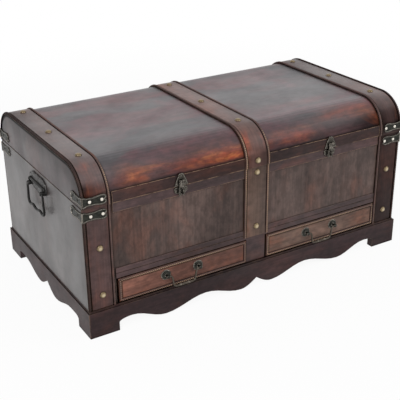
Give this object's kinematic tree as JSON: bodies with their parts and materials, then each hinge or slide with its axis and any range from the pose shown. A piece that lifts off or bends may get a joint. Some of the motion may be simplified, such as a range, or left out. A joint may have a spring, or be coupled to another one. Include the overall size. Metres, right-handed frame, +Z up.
{
  "type": "storage chest",
  "caption": "Low wooden storage chest with a rounded lid, raised rope-edged straps, drawers below the main compartment, hasps, drop handles and a scalloped plinth.",
  "frame": {"origin": "on the floor, at the middle of the chest in length and depth", "axes": "+Z up; the front with the drawers faces -Y; +X along the length, to the right for someone who faces the front"},
  "size_m": [0.928, 0.5213, 0.4095],
  "materials": {
    "plinth_wood": "dark stained wood, satin",
    "side_wood": "dark stained wood, satin",
    "front_wood": "dark stained wood, satin",
    "strap_wood": "dark stained wood, satin",
    "lid_wood": "red-brown stained wood, semi-gloss",
    "drawer_wood": "red-brown stained wood, satin",
    "inner_wood": "bare wood, matt",
    "bronze": "dark aged bronze",
    "aged_brass": "dull aged brass",
    "black_iron": "black, satin"
  },
  "bodies": {
    "case": {"plinth_front": "plinth_wood", "plinth_back": "plinth_wood", "plinth_left": "plinth_wood", "plinth_right": "plinth_wood", "side_board_left": "side_wood", "side_board_right": "side_wood", "front_board": "front_wood", "back_board": "front_wood", "compartment_floor": "inner_wood", "bottom_board": "inner_wood", "drawer_divider": "inner_wood", "drawer_guide_left": "inner_wood", "drawer_guide_right": "inner_wood", "strap_front_left": "strap_wood", "strap_front_middle": "strap_wood", "strap_front_right": "strap_wood", "strap_back_left": "strap_wood", "strap_back_middle": "strap_wood", "strap_back_right": "strap_wood", "top_rail": "strap_wood", "drawer_rail": "strap_wood", "case_guard_front_left": "bronze", "case_guard_front_right": "bronze", "case_guard_back_left": "bronze", "case_guard_back_right": "bronze", "hasp_plate_left": "bronze", "hasp_plate_right": "bronze", "hinge_case_leaf_left": "aged_brass", "hinge_case_leaf_right": "aged_brass", "handle_plate_left": "black_iron", "handle_plate_right": "black_iron"},
    "lid": {"lid_end_left": "side_wood", "lid_end_right": "side_wood", "lid_strap_left": "strap_wood", "lid_strap_middle": "strap_wood", "lid_strap_right": "strap_wood", "lid_lip": "strap_wood", "lid_skin": "lid_wood", "lid_guard_front_left": "bronze", "lid_guard_front_right": "bronze", "lid_guard_back_left": "bronze", "lid_guard_back_right": "bronze", "hasp_leaf_left": "bronze", "hasp_leaf_right": "bronze", "hinge_lid_leaf_left": "aged_brass", "hinge_lid_leaf_right": "aged_brass"},
    "drawer_left": {"drawer_box_left": "inner_wood", "pull_post_left_a": "bronze", "pull_post_left_b": "bronze", "drawer_front_left": "drawer_wood"},
    "drawer_right": {"drawer_box_right": "inner_wood", "pull_post_right_a": "bronze", "pull_post_right_b": "bronze", "drawer_front_right": "drawer_wood"},
    "pull_left": {"pull_bail_left": "aged_brass"},
    "pull_right": {"pull_bail_right": "aged_brass"},
    "handle_left": {"handle_bail_left": "black_iron"},
    "handle_right": {"handle_bail_right": "black_iron"},
    "tongue_left": {"hasp_tongue_left": "bronze"},
    "tongue_right": {"hasp_tongue_right": "bronze"}
  },
  "joints": [
    {"name": "lid_hinge", "type": "hinge", "parent": "case", "child": "lid", "pos_m": [0, 0.2524, 0.3175], "axis": [-1, 0, 0], "range_deg": [0, 95]},
    {"name": "drawer_left_slide", "type": "slide", "parent": "case", "child": "drawer_left", "axis": [0, -1, 0], "range_m": [0, 0.3]},
    {"name": "drawer_right_slide", "type": "slide", "parent": "case", "child": "drawer_right", "axis": [0, -1, 0], "range_m": [0, 0.3]},
    {"name": "pull_left_swing", "type": "hinge", "parent": "drawer_left", "child": "pull_left", "pos_m": [-0.208, -0.261, 0.1039], "axis": [-1, 0, 0], "range_deg": [0, 105]},
    {"name": "pull_right_swing", "type": "hinge", "parent": "drawer_right", "child": "pull_right", "pos_m": [0.1955, -0.261, 0.1039], "axis": [-1, 0, 0], "range_deg": [0, 105]},
    {"name": "handle_left_swing", "type": "hinge", "parent": "case", "child": "handle_left", "pos_m": [-0.458, 0, 0.2782], "axis": [0, 1, 0], "range_deg": [0, 100]},
    {"name": "handle_right_swing", "type": "hinge", "parent": "case", "child": "handle_right", "pos_m": [0.458, 0, 0.2782], "axis": [0, -1, 0], "range_deg": [0, 100]},
    {"name": "tongue_left_swing", "type": "hinge", "parent": "lid", "child": "tongue_left", "pos_m": [-0.2065, -0.2553, 0.3318], "axis": [-1, 0, 0], "range_deg": [0, 170]},
    {"name": "tongue_right_swing", "type": "hinge", "parent": "lid", "child": "tongue_right", "pos_m": [0.2155, -0.2553, 0.3318], "axis": [-1, 0, 0], "range_deg": [0, 170]}
  ]
}
